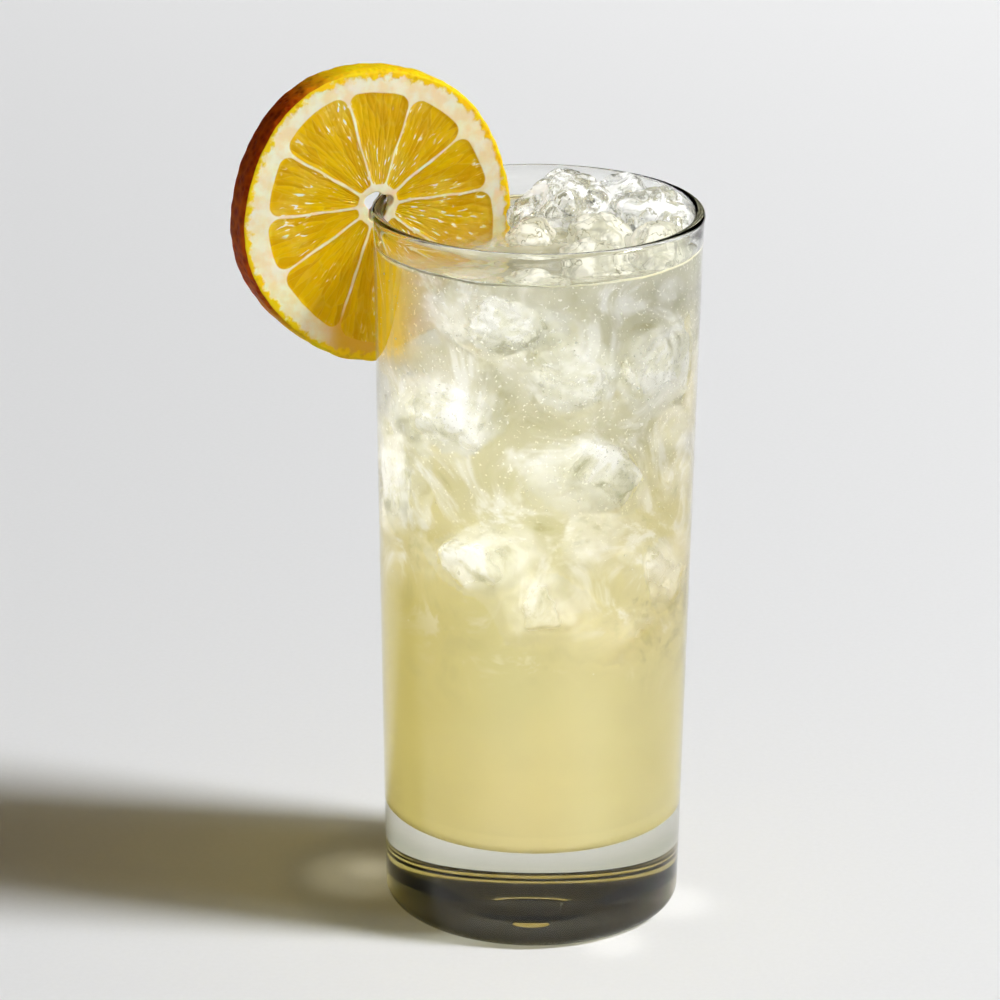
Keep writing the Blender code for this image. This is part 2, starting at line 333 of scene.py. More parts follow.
def drink_material():
    """The drink at the wall: a veil of murk over the ice, with wisps, fizz and the wheel's gold."""
    s = Shader("cloudy_drink")
    place = s.place()
    across, _, height = s.split(place)
    colour = liquid_colour(s, place)
    frosty = s.mix(s.ramp(height, 0.060, 0.086), rgb(238, 230, 186), rgb(250, 249, 242))
    colour = s.mix(s.times(s.attribute("near_ice"), 0.8), colour, frosty)

    tilt = s.plus(height, s.times(across, 0.35))
    tilt = s.plus(tilt, s.sway(34.0, 2.0, place, 0.09))
    icy = s.ramp(tilt, 0.050, 0.100)
    wisps = s.twisted_noise(58.0, 4.0, 0.64, 1.2, place)
    pale = s.times(s.ramp(wisps, 0.50, 0.64), icy)
    colour = s.mix(s.times(pale, 0.9), colour, rgb(255, 255, 252))
    dark = s.times(s.ramp(wisps, 0.48, 0.34), icy)
    colour = s.mix(s.times(dark, 0.75), colour, rgb(166, 162, 114))

    fizz = s.ramp(s.noise(1300.0, 2.0, place), 0.62, 0.70)
    fizz = s.times(fizz, s.ramp(height, 0.075, 0.12))
    colour = s.mix(s.times(fizz, 0.6), colour, rgb(255, 255, 250))
    colour = s.mix(s.times(s.attribute("near_wheel"), 0.97), colour, rgb(238, 198, 0))

    veil = s.plus(s.attribute("veil"), s.times(pale, 0.12))
    veil = s.plus(veil, s.times(fizz, 0.45))
    surface = s.blend(s.math("MINIMUM", veil, 1.0), s.clear(WHITE), murky(s, colour, 0.4))
    return s.finish(s.lets_lamps_through(surface, DRINK_SHADE, diffuse_too=False))


def drink_top_material():
    s = Shader("drink_surface")
    ripple = s.noise(220.0, 2.0, s.place())
    water = s.node(
        "BsdfPrincipled",
        Base_Color=(0.97, 0.96, 0.88, 1.0),
        Roughness=0.02,
        IOR=1.33,
        Transmission_Weight=1.0,
        Normal=s.bump(ripple, 0.35, 0.0006),
    ).outputs[0]
    murk = s.node("BsdfPrincipled", Base_Color=rgb(232, 228, 196), Roughness=0.08, IOR=1.33).outputs[0]
    clear_patch = s.attribute("near_wheel")
    surface = s.blend(clear_patch, s.blend(0.4, water, murk), s.clear((0.99, 0.97, 0.88, 1.0)))
    tint = s.mix(clear_patch, DRINK_SHADE, (0.98, 0.97, 0.92, 1.0))
    return s.finish(s.lets_lamps_through(surface, tint))


def core_material():
    s = Shader("cloudy_depth")
    place = s.place()
    colour = liquid_colour(s, place)
    colour = s.mix(s.ramp(s.noise(50.0, 3.0, place), 0.35, 0.7, 0.0, 0.6), colour, rgb(184, 180, 138))
    surface = murky(s, colour, 0.3)
    return s.finish(s.lets_lamps_through(surface, (0.82, 0.72, 0.30, 1.0), diffuse_too=False))


def sunk_ice_material():
    s = Shader("sunk_ice")
    place = s.place()
    grain = s.twisted_noise(105.0, 5.0, 0.62, 0.7, place)
    colour = s.mix(s.ramp(grain, 0.36, 0.46), rgb(176, 175, 142), rgb(232, 231, 214))
    colour = s.mix(s.ramp(grain, 0.47, 0.55), colour, rgb(255, 255, 255))
    vein = s.math("ABSOLUTE", s.sway(70.0, 5.0, place, 1.0))
    colour = s.mix(s.ramp(vein, 0.0, 0.006, 0.4, 0.0), colour, rgb(170, 168, 124))
    # Painted highlight: the lumps' edges are painted near white
    colour = s.mix(s.times(s.attribute("edge"), 0.55), colour, rgb(255, 255, 253))
    colour = s.mix(s.times(s.attribute("murk"), 0.4), colour, rgb(214, 210, 174))
    height = s.split(place)[2]
    colour = s.mix(s.ramp(height, 0.088, 0.066, 0.0, 0.55), colour, rgb(222, 213, 160))
    relief = s.bump(grain, 0.6, 0.0015)
    front = s.node("BsdfPrincipled", Base_Color=colour, Roughness=0.25, Normal=relief).outputs[0]
    through = s.node("BsdfTranslucent", Color=colour).outputs[0]
    surface = s.blend(0.35, front, through)
    return s.finish(s.lets_lamps_through(surface, (0.96, 0.95, 0.93, 1.0), diffuse_too=False))


def ice_material(name, slush):
    """Clear ice with white frost inside. Slush is the share of it that is wet, yellowish and dull."""
    s = Shader(name)
    place = s.place()
    facets = s.cells("F1", 300.0, place).outputs["Distance"]
    ripple = s.plus(facets, s.noise(240.0, 3.0, place))
    relief = s.bump(ripple, 0.55, 0.0010)
    ice = s.node(
        "BsdfPrincipled",
        Base_Color=(0.99, 0.99, 0.98, 1.0),
        Roughness=0.02,
        IOR=1.31,
        Transmission_Weight=1.0,
        Normal=relief,
    ).outputs[0]
    grain = s.twisted_noise(150.0, 4.0, 0.62, 0.8, place)
    white = s.mix(s.ramp(grain, 0.42, 0.56), rgb(224, 224, 214), rgb(255, 255, 255))
    white = s.mix(0.7 * slush, white, rgb(246, 242, 214))
    crack = s.math("ABSOLUTE", s.sway(170.0, 4.0, place, 1.0))
    white = s.mix(s.ramp(crack, 0.0, 0.014, 0.8, 0.0), white, rgb(120, 117, 76))
    frost_share = s.ramp(grain, 0.44, 0.58, 0.12 + 0.40 * slush, 0.92)
    surface = s.blend(frost_share, ice, murky(s, white, 0.4))
    gloss = s.node("BsdfGlossy", Roughness=0.07, Normal=relief).outputs[0]
    shine = s.node("Fresnel", IOR=1.31).outputs[0]
    surface = s.blend(shine, surface, gloss)
    return s.finish(s.lets_lamps_through(surface, (0.90, 0.91, 0.89, 1.0)))


def pulp_colour(s, place, across, up, depth):
    """Juice sacs that lie along the radius, with bright glints in clusters painted into the colour as painted
    highlights, and how plump they are.
    """
    flat = s.node("CombineXYZ", X=across, Y=up).outputs[0]
    radius = s.node("VectorMath", {"operation": "LENGTH"}, Vector=flat).outputs["Value"]
    angle = s.math("ARCTAN2", up, across)
    sway = s.sway(90.0, 2.0, place, 2.2)
    polar = s.node(
        "CombineXYZ",
        X=s.plus(s.times(angle, 15.0), sway),
        Y=s.times(radius, 170.0),
        Z=depth,
    ).outputs[0]
    sac = s.cells("DISTANCE_TO_EDGE", 1.0, polar).outputs["Distance"]
    tone = s.node("SeparateColor", Color=s.cells("F1", 1.0, polar).outputs["Color"]).outputs[0]
    pulp = s.mix(s.ramp(tone, 0.0, 1.0), rgb(216, 168, 0), rgb(232, 192, 0))
    pulp = s.mix(s.ramp(sac, 0.0, 0.08, 0.30, 0.0), pulp, rgb(232, 202, 70))
    cloud = s.ramp(s.noise(120.0, 4.0, place), 0.50, 0.72)
    pulp = s.mix(s.times(cloud, 0.55), pulp, rgb(236, 206, 70))

    fine = s.node(
        "CombineXYZ",
        X=s.plus(s.times(angle, 26.0), sway),
        Y=s.times(radius, 420.0),
        Z=s.times(depth, 90.0),
    ).outputs[0]
    # Painted highlights: glints painted into the pulp's colour, each with a soft yellow rim
    painted_glint = s.twisted_noise(1.0, 1.0, 0.4, 0.4, fine)
    cluster = s.ramp(s.noise(130.0, 1.0, place), 0.46, 0.60)
    pulp = s.mix(s.times(s.ramp(painted_glint, 0.56, 0.66), cluster), pulp, rgb(242, 214, 96))
    pulp = s.mix(s.times(s.ramp(painted_glint, 0.655, 0.69), cluster), pulp, rgb(255, 253, 240))
    return pulp, s.ramp(sac, 0.0, 0.3)


def lemon_material():
    s = Shader("lemon_slice")
    place = s.place()
    across, up, depth = s.split(place)
    on_face = s.attribute("on_face")
    pulp, plump = pulp_colour(s, place, across, up, depth)

    # Pith, golden low down beside the slit: painted shade where the glass shades the pith
    pith = s.mix(s.ramp(s.noise(330.0, 4.0, place), 0.35, 0.65), rgb(252, 232, 188), rgb(255, 249, 224))
    painted_pith_shade = s.times(s.ramp(across, -0.015, -0.008), s.ramp(up, -0.018, -0.024))
    pith = s.mix(s.times(painted_pith_shade, 0.92), pith, rgb(230, 180, 12))
    wander = s.sway(240.0, 2.0, place, 0.00042)
    fleshy = s.ramp(s.plus(s.attribute("inside"), wander), -0.00005, 0.00025)
    colour = s.mix(fleshy, pith, pulp)

    # Rind, darkened to orange-brown on its left flank: painted shade on the side turned from the key lamp;
    # and its ragged yellow edge on the cut faces
    glands = s.cells("F1", 640.0, place).outputs["Distance"]
    zest = s.mix(s.noise(300.0, 2.0, place), rgb(240, 198, 0), rgb(255, 224, 24))
    zest = s.mix(s.ramp(glands, 0.15, 0.45, 0.35, 0.0), zest, rgb(204, 160, 0))
    teeth = s.sway(560.0, 2.0, place, 0.0042)
    skin = s.ramp(s.plus(s.attribute("from_rind"), teeth), 0.0017, 0.0027, 1.0, 0.0)
    colour = s.mix(skin, colour, zest)
    peel = s.mix(s.attribute("painted_flank_shade"), zest, s.mix(glands, rgb(150, 42, 0), rgb(214, 96, 0)))
    colour = s.mix(on_face, peel, colour)

    outer = s.math("SUBTRACT", 1.0, s.times(on_face, s.math("SUBTRACT", 1.0, skin)))
    height = s.times(s.ramp(glands, 0.1, 0.45), outer)
    height = s.plus(height, s.times(plump, s.times(fleshy, 0.5)))
    body = s.node(
        "BsdfPrincipled",
        Base_Color=colour,
        Roughness=s.ramp(fleshy, 0.0, 1.0, 0.55, 0.2),
        IOR=1.35,
        Specular_IOR_Level=0.3,
        Subsurface_Weight=0.6,
        Subsurface_Scale=0.003,
        Normal=s.bump(height, 0.3, 0.0004),
    )
    body.inputs["Subsurface Radius"].default_value = (1.0, 0.5, 0.06)
    through = s.node("BsdfTranslucent", Color=colour).outputs[0]
    return s.finish(s.blend(0.2, body.outputs[0], through))


def lemon_cut_material():
    s = Shader("lemon_slit")
    colour = s.mix(s.noise(200.0, 3.0, s.place()), rgb(206, 160, 10), rgb(244, 216, 120))
    body = s.node("BsdfPrincipled", Base_Color=colour, Roughness=0.35)
    return s.finish(body.outputs[0])


def bubble_material():
    s = Shader("fine_bubbles")
    body = s.node("BsdfPrincipled", Base_Color=rgb(250, 250, 240), Roughness=0.15)
    return s.finish(s.lets_lamps_through(body.outputs[0], WHITE, diffuse_too=False))


def meniscus_material():
    s = Shader("meniscus")
    # Painted highlight: the waterline's ring is painted pale white
    colour = s.mix(s.noise(300.0, 2.0, s.place()), rgb(236, 226, 168), rgb(255, 255, 244))
    body = s.node("BsdfPrincipled", Base_Color=colour, Roughness=0.08, IOR=1.33)
    return s.finish(s.lets_lamps_through(body.outputs[0], WHITE, diffuse_too=False))


def floor_material():
    s = Shader("pale_table")
    grain = s.noise(900.0, 2.0, s.place())
    colour = s.mix(grain, (0.80, 0.80, 0.80, 1.0), (0.84, 0.84, 0.845, 1.0))
    body = s.node("BsdfPrincipled", Base_Color=colour, Roughness=0.7, Normal=s.bump(grain, 0.05, 0.0003))
    return s.finish(body.outputs[0])


# Object and mesh helpers
def new_object(name, data):
    obj = bpy.data.objects.new(name, data)
    bpy.context.scene.collection.objects.link(obj)
    return obj


def add_mesh(name, points, faces, materials=(), smooth_shaded=True):
    mesh = bpy.data.meshes.new(name)
    mesh.from_pydata([tuple(p) for p in points], [], [tuple(f) for f in faces])
    mesh.update()
    if smooth_shaded:
        mesh.shade_smooth()
    for item in materials:
        mesh.materials.append(item)
    return new_object(name, mesh)


def set_attribute(obj, name, values):
    layer = obj.data.attributes.get(name) or obj.data.attributes.new(name, "FLOAT", "POINT")
    layer.data.foreach_set("value", np.asarray(values, np.float32))


def move_points(mesh, points):
    mesh.vertices.foreach_set("co", points.ravel())
    mesh.update()


def vectors_of(mesh, kind="co"):
    flat = np.empty(len(mesh.vertices) * 3)
    mesh.vertices.foreach_get(kind, flat)
    return flat.reshape(-1, 3)


def arc(centre_x, centre_z, radius, start, end, count):
    angles = np.radians(np.linspace(start, end, count + 1))
    return [(centre_x + radius * math.cos(a), centre_z + radius * math.sin(a)) for a in angles]


def line(start, end, count):
    """Points from start to end with the start left out."""
    start, end = np.array(start), np.array(end)
    return [tuple(start + (end - start) * (i + 1) / count) for i in range(count)]


def revolve(name, profile, steps, materials=(), closed=False):
    """A turned mesh from profile points (radius, height), outer side from top to bottom."""
    points, rows = [], []
    for radius, height in profile:
        if radius < 1e-9:
            rows.append([len(points)] * steps)
            points.append((0.0, 0.0, height))
            continue
        rows.append(list(range(len(points), len(points) + steps)))
        for i in range(steps):
            angle = math.tau * i / steps
            points.append((radius * math.cos(angle), radius * math.sin(angle), height))
    faces, face_rows = [], []
    pairs = list(zip(rows, rows[1:])) + ([(rows[-1], rows[0])] if closed else [])
    for row, (upper, lower) in enumerate(pairs):
        for i in range(steps):
            k = (i + 1) % steps
            corners = [upper[i], lower[i], lower[k], upper[k]]
            unique = list(dict.fromkeys(corners))
            if len(unique) > 2:
                faces.append(unique)
                face_rows.append(row)
    obj = add_mesh(name, points, faces, materials)
    return obj, np.array(face_rows)


# Glass
def glass_profile():
    """Points from the inner floor up, over the bead, down and in, and where the wet rows end
    and the underside's rows begin."""
    bead_height = GLASS_HEIGHT - BEAD_RADIUS
    bead_middle = outer_radius(bead_height) - wall(bead_height) / 2
    neck = bead_height - 0.9 * BEAD_RADIUS
    corner_height = FLOOR_HEIGHT + FLOOR_CORNER_RADIUS
    floor_edge = inner_radius(corner_height) - FLOOR_CORNER_RADIUS
    foot_edge = outer_radius(FOOT_CORNER_RADIUS) - FOOT_CORNER_RADIUS
    profile = [(0.0, FLOOR_HEIGHT)]
    profile += arc(floor_edge, corner_height, FLOOR_CORNER_RADIUS, -90, 0, 10)
    profile.append((inner_radius(DRINK_LEVEL + MENISCUS), DRINK_LEVEL + MENISCUS))
    wet_rows = len(profile) - 1
    profile.append((inner_radius(neck), neck))
    profile += arc(bead_middle, bead_height, BEAD_RADIUS, 170, 10, 20)
    profile.append((outer_radius(neck), neck))
    profile += arc(foot_edge, FOOT_CORNER_RADIUS, FOOT_CORNER_RADIUS, 0, -90, 12)
    underside_row = len(profile) - 1
    profile.append((RING_MARK_OUTER, 0.0))
    profile.append((RING_MARK_OUTER - RING_MARK_SLOPE, RING_MARK_DEPTH))
    profile.append((RING_MARK_INNER + RING_MARK_SLOPE, RING_MARK_DEPTH))
    profile += [(RING_MARK_INNER, 0.0), (0.0, 0.0)]
    return profile, wet_rows, underside_row


def make_glass():
    profile, wet_rows, underside_row = glass_profile()
    clear = glass_material("clear_glass", (0.93, 0.94, 0.91, 1.0), (0.55, 0.55, 0.48, 1.0))
    underside = glass_material("glass_underside", (0.10, 0.09, 0.03, 1.0), (0.10, 0.09, 0.03, 1.0))
    glass, rows = revolve("tumbler", profile, GLASS_STEPS, (clear, wet_wall_material(), underside))
    slots = np.where(rows < wet_rows, 1, np.where(rows >= underside_row, 2, 0))
    glass.data.polygons.foreach_set("material_index", slots.astype(np.int32))
    glass.data.set_sharp_from_angle(angle=math.radians(40.0))
    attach(glass, "root")
    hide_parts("glass")
    return glass


# Ice lumps: rounded polyhedra, from the nearest of some planes in each direction
LUMP_PLANES = 12
LUMP_SHARPNESS = 14.0
LUMP_LONGEST = 1.12
LUMP_ROUGHNESS = 0.13


def sphere_mesh(subdivisions):
    bm = bmesh.new()
    bmesh.ops.create_icosphere(bm, subdivisions=subdivisions, radius=1.0)
    points = np.array([v.co[:] for v in bm.verts])
    faces = [[v.index for v in f.verts] for f in bm.faces]
    bm.free()
    return points, faces


def lump_points(directions, centre, radii, chance):
    """Points of one lump, and how near each lies to an edge between two of its planes."""
    supports = []
    for _ in range(LUMP_PLANES):
        normal = np.array([chance.gauss(0.0, 1.0) for _ in range(3)])
        normal /= np.linalg.norm(normal)
        supports.append(np.maximum(directions @ normal, 0.0) / chance.uniform(0.68, 1.0))
    supports = np.sort(np.array(supports), axis=0)
    edge = smooth((supports[-2] / np.maximum(supports[-1], 1e-6) - 0.90) / 0.10)
    radius = (supports ** LUMP_SHARPNESS).sum(axis=0) ** (-1.0 / LUMP_SHARPNESS)
    radius = np.minimum(radius, LUMP_LONGEST)
    offset = chance.uniform(0.0, 50.0)
    for index, direction in enumerate(directions):
        spot = Vector(direction) * 2.2 + Vector((offset, 0.0, 0.0))
        radius[index] *= 1.0 + LUMP_ROUGHNESS * noise.fractal(spot, 1.0, 2.0, 4)
    return np.array(centre) + directions * radius[:, None] * np.array(radii), edge


# Sunk ice: centre, in millimetres, and half sizes of the lumps that show best, then more by chance
SHOWN_LUMPS = (
    ((-14.0, -18.0, 113.5), (8.5, 8.0, 9.5)),
    ((-8.0, -20.0, 85.5), (9.0, 7.5, 8.0)),
    ((9.0, -20.0, 103.0), (10.0, 8.0, 9.0)),
    ((-5.0, -21.0, 133.5), (10.0, 7.0, 7.5)),
    ((21.0, -12.0, 122.0), (8.0, 8.0, 10.0)),
    ((12.0, -13.5, 67.0), (10.0, 8.0, 8.0)),
    ((20.0, -11.0, 78.0), (7.5, 8.0, 8.0)),
    ((6.0, -22.0, 122.5), (8.0, 6.5, 8.5)),
    ((-22.0, -8.0, 95.0), (6.5, 8.0, 11.0)),
    ((-12.0, -6.0, 80.0), (8.0, 7.0, 8.5)),
)
MORE_LUMPS = 28
LUMP_SEED = 7
LUMP_TRIES = 4000
LUMP_SPREAD = 22.0
LUMP_LOWEST = 74.0
LUMP_HIGHEST = 134.0
LUMP_HALF_SIZES = (6.0, 9.5)
LUMP_CLOSEST = 0.86
LUMP_FROM_WALL = 0.5 * MM
LUMP_UNDER_LEVEL = 0.6 * MM
LUMP_MURK = 9.0 * MM

# A point of the wheel's front plane, and the room kept free round the wheel's sunk part
PLANE_X = -8.2 * MM
PLANE_Y = 15.45 * MM
PLANE_ROOM = 9.0 * MM
PLANE_LOWEST = 108.0 * MM


def lump_list():
    """Centres and half sizes: the shown lumps, then more that keep off them and off the wheel."""
    chance = random.Random(LUMP_SEED)
    lumps = [(np.array(c) * MM, np.array(r) * MM) for c, r in SHOWN_LUMPS]
    for _ in range(LUMP_TRIES):
        if len(lumps) == len(SHOWN_LUMPS) + MORE_LUMPS:
            break
        angle = chance.uniform(0.0, math.tau)
        distance = LUMP_SPREAD * math.sqrt(chance.random())
        height = chance.uniform(LUMP_LOWEST, LUMP_HIGHEST)
        centre = np.array([distance * math.cos(angle), distance * math.sin(angle), height]) * MM
        radii = np.array([chance.uniform(*LUMP_HALF_SIZES) for _ in range(3)]) * MM
        near = min(np.linalg.norm((centre - c) / (r + radii)) for c, r in lumps)
        behind = (centre[1] - PLANE_Y) * math.cos(WHEEL_TURN) - (centre[0] - PLANE_X) * math.sin(WHEEL_TURN)
        if near < LUMP_CLOSEST or (behind > -PLANE_ROOM and centre[2] > PLANE_LOWEST):
            continue
        lumps.append((centre, radii))
    return lumps


def make_sunk_ice():
    directions, sphere_faces = sphere_mesh(5)
    chance = random.Random(LUMP_SEED + 1)
    points, faces, edges = [], [], []
    for centre, radii in lump_list():
        lump, edge = lump_points(directions, centre, radii, chance)
        edges.append(edge)
        limit = inner_radius(lump[:, 2]) - LUMP_FROM_WALL
        radius = np.hypot(lump[:, 0], lump[:, 1])
        squeeze = np.minimum(1.0, limit / np.maximum(radius, 1e-9))
        lump[:, :2] *= squeeze[:, None]
        lump[:, 2] = np.minimum(lump[:, 2], DRINK_LEVEL - LUMP_UNDER_LEVEL)
        start = sum(len(p) for p in points)
        points.append(lump)
        faces += [[start + i for i in face] for face in sphere_faces]
    points = np.concatenate(points)
    ice = add_mesh("sunk_ice", points, faces, (sunk_ice_material(),))
    depth = inner_radius(points[:, 2]) - np.hypot(points[:, 0], points[:, 1])
    set_attribute(ice, "murk", 1.0 - np.exp(-depth / LUMP_MURK))
    # Nearness to an edge, which the sunk ice's material paints as a highlight
    set_attribute(ice, "edge", np.concatenate(edges))
    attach(ice, "root")
    return ice


# Drink
def gold_at(tree, turn, point):
    """How much of the wheel shows through the drink at a point of the wall, with a soft outline."""
    reach = GOLD_REACH_FRONT if point[1] < 0.0 else GOLD_REACH_BACK
    ahead = turn.to_3x3() @ Vector((0.0, -math.copysign(SIGHT_LEVEL, point[1]), -SIGHT_DOWN))
    found = 0.0
    for across, up in GOLD_OFFSETS:
        start = Vector(point) + Vector((across * GOLD_SOFTEN, 0.0, up * GOLD_SOFTEN))
        distance = tree.ray_cast(turn @ start, ahead, GOLD_LOOK)[3]
        if distance is not None:
            found += float(smooth((reach - distance) / GOLD_FADE)) / len(GOLD_OFFSETS)
    return found


def swell_at(points):
    """How far the drink's surface swells or sinks at each point."""
    places = [Vector(point) * SURFACE_SWELL_SCALE for point in points]
    return SURFACE_SWELL * np.array([noise.fractal(place, 1.0, 2.0, 3) for place in places])


def drink_mesh():
    """The body of drink, a little into the glass all round, and which of its points lie on top."""
    bottom = FLOOR_HEIGHT - INTO_WALL
    corner = FLOOR_CORNER_RADIUS
    side = inner_radius(bottom + corner) + INTO_WALL
    top_edge = inner_radius(DRINK_LEVEL) + INTO_WALL
    profile = [(0.0, DRINK_LEVEL)]
    profile += line((0.0, DRINK_LEVEL), (top_edge - MENISCUS_WIDTH, DRINK_LEVEL), 24)
    for step in range(1, 9):
        share = step / 8
        height = DRINK_LEVEL + MENISCUS * share ** 2.5
        profile.append((top_edge - MENISCUS_WIDTH * (1.0 - share), height))
    top_rows = len(profile) - 1
    profile += line(profile[-1], (side, bottom + corner), 180)
    profile += arc(side - corner, bottom + corner, corner, 0, -90, 8)[1:]
    profile += line(profile[-1], (0.0, bottom), 12)
    drink, rows = revolve("sling", profile, DRINK_STEPS, (drink_material(), drink_top_material()))
    drink.data.polygons.foreach_set("material_index", (rows < top_rows).astype(np.int32))

    points = vectors_of(drink.data)
    on_top = points[:, 2] > DRINK_LEVEL - 0.05 * MM
    points[on_top, 2] += swell_at(points)[on_top]
    move_points(drink.data, points)
    return drink, points, on_top


def make_drink(ice, core, wheel):
    """The drink, with what lies close behind each point of its wall kept as attributes."""
    drink, points, on_top = drink_mesh()
    graph = bpy.context.evaluated_depsgraph_get()
    ice_tree, core_tree, wheel_tree = (BVHTree.FromObject(piece, graph) for piece in (ice, core, wheel))
    turn = wheel.matrix_world.inverted()
    near = np.zeros(len(points))
    veil = np.ones(len(points))
    golden = np.zeros(len(points))
    for index, point in enumerate(points):
        inward = Vector((-point[0], -point[1], 0.0))
        if inward.length < 1e-6:
            continue
        inward.normalize()
        start = Vector(point)
        rise = float(smooth((point[2] - VEIL_RISE_FROM) / VEIL_RISE_OVER))
        reach = VEIL_LOW + (VEIL_HIGH - VEIL_LOW) * rise
        to_ice = ice_tree.ray_cast(start, inward, VEIL_LOOK)[3]
        to_core = core_tree.ray_cast(start, inward, VEIL_LOOK)[3]
        if to_ice is not None:
            near[index] = math.exp(-to_ice / reach)
        nearest = min(d for d in (to_ice, to_core, VEIL_DEEPEST) if d is not None)
        veil[index] = 1.0 - VEIL_CLEAR * math.exp(-nearest / reach)
        if point[2] > GOLD_LOWEST and point[0] < GOLD_RIGHTMOST and not on_top[index]:
            golden[index] = gold_at(wheel_tree, turn, point)
            near[index] *= 1.0 - golden[index]
            if point[1] < 0.0:
                veil[index] = max(veil[index], golden[index])
            else:
                veil[index] = min(veil[index], 1.0 - 0.5 * golden[index])
        elif on_top[index]:
            to_wheel = wheel_tree.find_nearest(turn @ start, GOLD_LOOK_TOP)[3]
            if to_wheel is not None:
                golden[index] = 0.9 * float(smooth((GOLD_REACH_TOP - to_wheel) / GOLD_FADE))
    set_attribute(drink, "near_ice", near)
    set_attribute(drink, "veil", veil)
    set_attribute(drink, "near_wheel", golden)
    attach(drink, "root")
    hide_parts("drink")
    return drink


def make_meniscus():
    """The bright line of wetted glass round the top of the drink: a ring painted pale, a painted highlight.
    """
    height = DRINK_LEVEL + 0.55 * MENISCUS
    profile = arc(inner_radius(height), height, 0.26 * MM, 0, -360, 10)[:-1]
    ring, _ = revolve("waterline", profile, DRINK_STEPS, (meniscus_material(),), closed=True)
    points = vectors_of(ring.data)
    points[:, 2] += swell_at(points * (1.0, 1.0, 0.0))
    move_points(ring.data, points)
    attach(ring, "root")
    return ring


def make_bubbles():
    """Fine bubbles that cling to the wall, most of them high up and on the right."""
    directions, sphere_faces = sphere_mesh(1)
    chance = random.Random(BUBBLE_SEED)
    points, faces = [], []
    for index in range(BUBBLES):
        angle = chance.uniform(-math.pi, math.pi) if index % 3 else chance.gauss(math.radians(-35.0), 0.45)
        height = DRINK_LEVEL - 0.8 * MM - abs(chance.gauss(0.0, 26.0)) * MM
        size = chance.uniform(0.07, 0.17) * MM * (1.7 if chance.random() < 0.08 else 1.0)
        radius = inner_radius(height) + 0.5 * MM
        centre = np.array([radius * math.cos(angle), radius * math.sin(angle), height])
        faces += [[len(points) * len(directions) + i for i in face] for face in sphere_faces]
        points.append(centre + directions * size)
    bubbles = add_mesh("bubbles", np.concatenate(points), faces, (bubble_material(),))
    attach(bubbles, "root")
    return bubbles


def make_core():
    """The murk in the middle, which hides what lies behind it."""
    low = FLOOR_HEIGHT + CORE_OVER_FLOOR
    high = DRINK_LEVEL - CORE_UNDER_LEVEL
    profile = [(0.0, high)] + line((0.0, high), (inner_radius(high) - CORE_INSET, high), 12)
    profile += line(profile[-1], (inner_radius(low) - CORE_INSET, low), 90)
    profile += line(profile[-1], (0.0, low), 8)
    core, _ = revolve("cloudy_depth", profile, 128, (core_material(),))
    points = vectors_of(core.data)
    for index, point in enumerate(points):
        away = math.cos(math.atan2(point[1], point[0]) - CORE_WHEEL_SIDE)
        beside = float(smooth((0.1 - away) / 0.6))
        push = 1.0 + CORE_BULGE * noise.fractal(Vector(point) * 75.0, 1.0, 2.0, 3)
        push *= 1.0 - CORE_DRAWN_IN * beside * float(smooth((point[2] - CORE_DRAWN_FROM) / CORE_DRAWN_OVER))
        points[index, 0] *= push
        points[index, 1] *= push
    move_points(core.data, points)
    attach(core, "root")
    return core


# Lemon wheel
def rind_radius(angle):
    oval = WHEEL_OVAL * np.sin(2 * angle + WHEEL_OVAL_PHASE)
    lobes = WHEEL_LOBE_HEIGHT * np.sin(WHEEL_LOBES * angle + WHEEL_LOBE_PHASE)
    return WHEEL_RADIUS + oval + lobes


def reach_from_core(angle):
    """The rind's distance from the core, which lies off the wheel's centre."""
    direction = np.stack([np.cos(angle), np.sin(angle)], -1)
    reach = np.full(len(angle), WHEEL_RADIUS)
    for _ in range(12):
        point = WHEEL_CORE + direction * reach[:, None]
        reach += rind_radius(np.arctan2(point[:, 1], point[:, 0])) - np.hypot(point[:, 0], point[:, 1])
    return reach


def hole_radius(angle):
    return CORE_HOLE_RADIUS * (1.0 + 0.16 * np.sin(3 * angle + 0.7) + 0.08 * np.sin(5 * angle))


def rounded(first, second, radius):
    """Depth inside both of two edges, with the corner between them rounded."""
    corner = radius - np.hypot(np.maximum(radius - first, 0.0), np.maximum(radius - second, 0.0))
    return np.where((first < radius) & (second < radius), corner, np.minimum(first, second))


def hashed(u, v, seed):
    return np.modf(np.abs(np.sin(u + v + seed) * 43758.5453))[0]


def cell_pattern(u, v, seed):
    """Distance to the nearest and second nearest of a grid of jittered points."""
    best = np.full(u.shape, 9.0)
    second = np.full(u.shape, 9.0)
    cell_u, cell_v = np.floor(u), np.floor(v)
    for du in (-1, 0, 1):
        for dv in (-1, 0, 1):
            iu, iv = cell_u + du, cell_v + dv
            jitter_u = 0.15 + 0.7 * hashed(iu * 127.1, iv * 311.7, seed)
            jitter_v = 0.1 + 0.8 * hashed(iu * 269.5, iv * 183.3, seed)
            distance = np.hypot(iu + jitter_u - u, iv + jitter_v - v)
            closer = distance < best
            second = np.where(closer, best, np.minimum(second, distance))
            best = np.where(closer, distance, best)
    return best, second


def wheel_matrix():
    right = Vector((math.cos(WHEEL_TURN), math.sin(WHEEL_TURN), 0.0))
    up = Vector((0.0, 0.0, 1.0))
    out = right.cross(up)
    middle = WHEEL_FRONT_CENTRE - out * WHEEL_THICKNESS / 2
    middle += right * WHEEL_CORE[0] + up * WHEEL_CORE[1]
    rotation = Matrix((right, up, out)).transposed().to_4x4()
    return Matrix.Translation(middle) @ rotation


